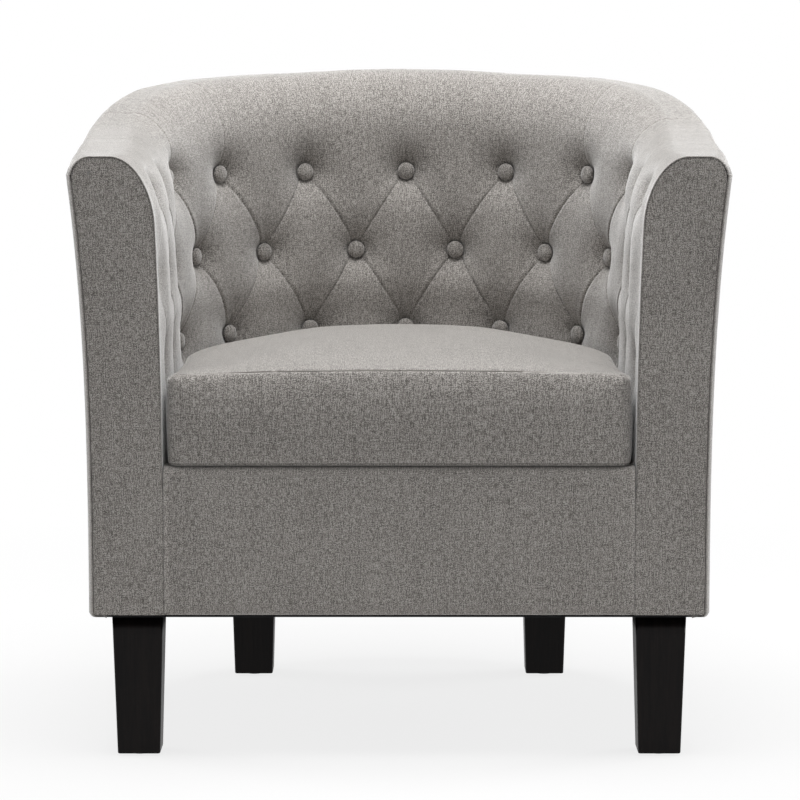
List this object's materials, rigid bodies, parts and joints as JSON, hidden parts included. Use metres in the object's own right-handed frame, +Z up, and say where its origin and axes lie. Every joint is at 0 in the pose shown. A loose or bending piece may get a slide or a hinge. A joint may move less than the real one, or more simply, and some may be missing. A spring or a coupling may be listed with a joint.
{
  "type": "tufted club chair",
  "caption": "Round-backed club chair with a button-tufted inside, rim falling to square-fronted arms, loose crowned seat cushion and tapered square legs.",
  "frame": {"origin": "on the floor under the middle of the chair's overall box", "axes": "+Z up, -Y out of the front of the chair, +X to the right as seen from the front"},
  "size_m": [0.731, 0.6509, 0.753],
  "materials": {
    "dark_wood": "espresso stain under satin lacquer",
    "glide_plastic": "matt",
    "zinc_steel": "zinc plated",
    "spring_steel": "oiled spring steel",
    "plywood": "raw birch plywood",
    "hardboard": "raw hardboard",
    "foam": "open-cell foam",
    "twine": "waxed twine",
    "black_cloth": "non-woven cloth",
    "felt": "pressed felt",
    "deck_cloth": "plain lining cloth",
    "grey_fabric": "warm grey heathered linen weave",
    "cushion_fabric": "warm grey heathered linen weave",
    "zip_tape": "woven tape with a nylon coil",
    "zip_metal": "antique finish"
  },
  "bodies": {
    "frame": {"leg_front_left": "dark_wood", "leg_front_right": "dark_wood", "leg_rear_left": "dark_wood", "leg_rear_right": "dark_wood", "foot_glides": "glide_plastic", "hanger_bolts": "zinc_steel", "tee_nuts": "zinc_steel", "leg_blocks": "plywood", "dust_cover": "black_cloth", "base_ring": "plywood", "front_rail": "plywood", "lower_posts": "plywood", "seat_ring_front": "plywood", "seat_ring_left": "plywood", "seat_ring_right": "plywood", "seat_ring_back": "plywood", "frame_screws": "zinc_steel", "arm_post_left": "plywood", "arm_post_right": "plywood", "arm_mid_post_left": "plywood", "arm_mid_post_right": "plywood", "back_post_1": "plywood", "back_post_2": "plywood", "back_post_3": "plywood", "back_post_4": "plywood", "top_rail": "plywood", "inside_board": "hardboard", "inside_foam": "foam", "tufting_clasps": "zinc_steel", "tufting_twines": "twine", "tufting_buttons": "grey_fabric", "inside_arm_left": "grey_fabric", "inside_back": "grey_fabric", "inside_arm_right": "grey_fabric", "spring_clips": "zinc_steel", "seat_springs": "spring_steel", "tie_wires": "twine", "deck_pad": "felt", "deck_cover": "deck_cloth", "outside_board": "hardboard", "tack_strip": "hardboard", "outside_cover": "grey_fabric", "arm_panel_left": "grey_fabric", "arm_panel_right": "grey_fabric", "front_rail_cover": "grey_fabric"},
    "cushion": {"seat_cushion_cover": "cushion_fabric", "seat_cushion_core": "foam", "cushion_zip": "zip_tape"},
    "zip_slider": {"zip_slider": "zip_metal"}
  },
  "joints": [
    {"name": "seat_cushion_lift", "type": "slide", "parent": "frame", "child": "cushion", "axis": [0, 0, 1], "range_m": [0, 0.45]},
    {"name": "zip_slider_run", "type": "hinge", "parent": "cushion", "child": "zip_slider", "pos_m": [0, -0.05253, 0.3775], "axis": [0, 0, 1], "range_deg": [0, 102]}
  ]
}
